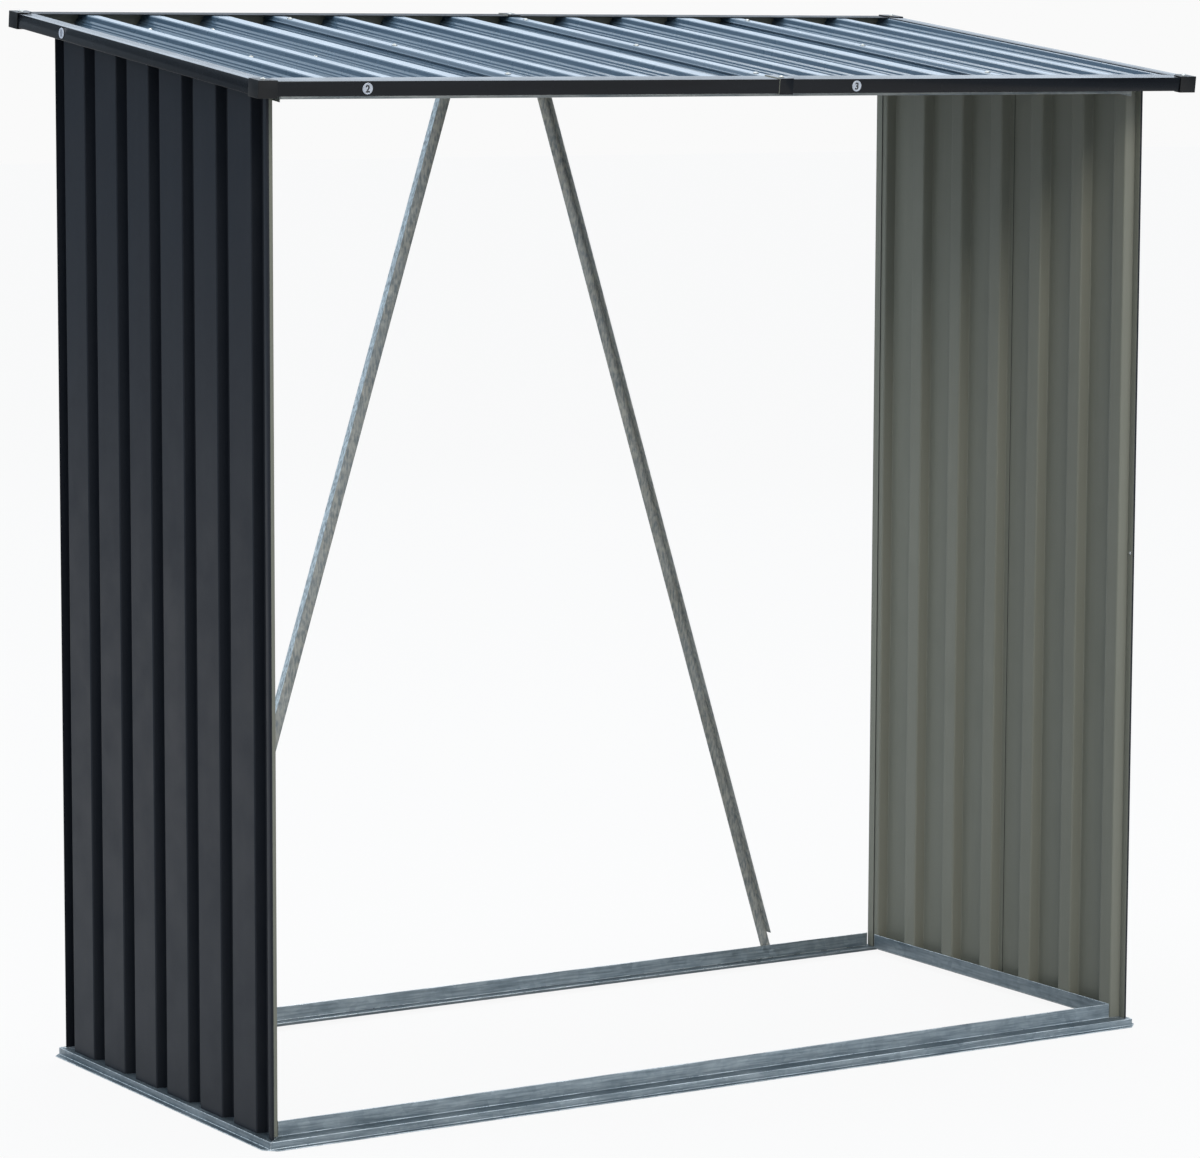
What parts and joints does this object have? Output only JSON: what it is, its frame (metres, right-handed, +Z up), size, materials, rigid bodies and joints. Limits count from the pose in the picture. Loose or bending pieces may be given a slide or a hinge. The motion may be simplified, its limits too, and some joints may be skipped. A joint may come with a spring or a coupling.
{
  "type": "log store",
  "caption": "Open-fronted log store with ribbed sheet-metal side walls, a ribbed roof that falls towards the front, a folded base frame and diagonal rear braces.",
  "frame": {"origin": "on the ground, under the middle of the roof's outline", "axes": "+X to the right seen from the front, +Y towards the rear, +Z up"},
  "size_m": [1.63, 0.806, 1.5973],
  "materials": {
    "galvanised_frame": "galvanised",
    "wall_paint": "satin coil-coated paint",
    "roof_paint": "satin coil-coated paint",
    "trim_paint": "satin coil-coated paint",
    "cap_plastic": "moulded",
    "zinc_screws": "bright zinc",
    "disc_plastic": "moulded"
  },
  "bodies": {
    "root": {"base_rail_front": "galvanised_frame", "base_rail_rear": "galvanised_frame", "base_rail_left": "galvanised_frame", "base_rail_right": "galvanised_frame", "top_rail_left": "galvanised_frame", "top_rail_right": "galvanised_frame", "front_lintel": "galvanised_frame", "rear_lintel": "galvanised_frame", "roof_purlin": "galvanised_frame", "brace_left": "galvanised_frame", "brace_right": "galvanised_frame", "post_front_left": "wall_paint", "post_front_right": "wall_paint", "post_rear_left": "wall_paint", "post_rear_right": "wall_paint", "wall_left_front_sheet": "wall_paint", "wall_left_rear_sheet": "wall_paint", "wall_right_front_sheet": "wall_paint", "wall_right_rear_sheet": "wall_paint", "roof_sheet_1": "roof_paint", "roof_sheet_2": "roof_paint", "roof_sheet_3": "roof_paint", "roof_sheet_4": "roof_paint", "trim_front_left": "trim_paint", "trim_front_right": "trim_paint", "trim_rear_left": "trim_paint", "trim_rear_right": "trim_paint", "trim_side_left": "trim_paint", "trim_side_right": "trim_paint", "cap_front_left": "cap_plastic", "cap_front_right": "cap_plastic", "cap_rear_left": "cap_plastic", "cap_rear_right": "cap_plastic", "roof_screws": "zinc_screws", "cap_screws": "zinc_screws", "trim_screws": "zinc_screws", "wall_screws_left": "zinc_screws", "wall_screws_right": "zinc_screws", "brace_bolts": "zinc_screws", "number_discs": "disc_plastic"}
  },
  "joints": []
}
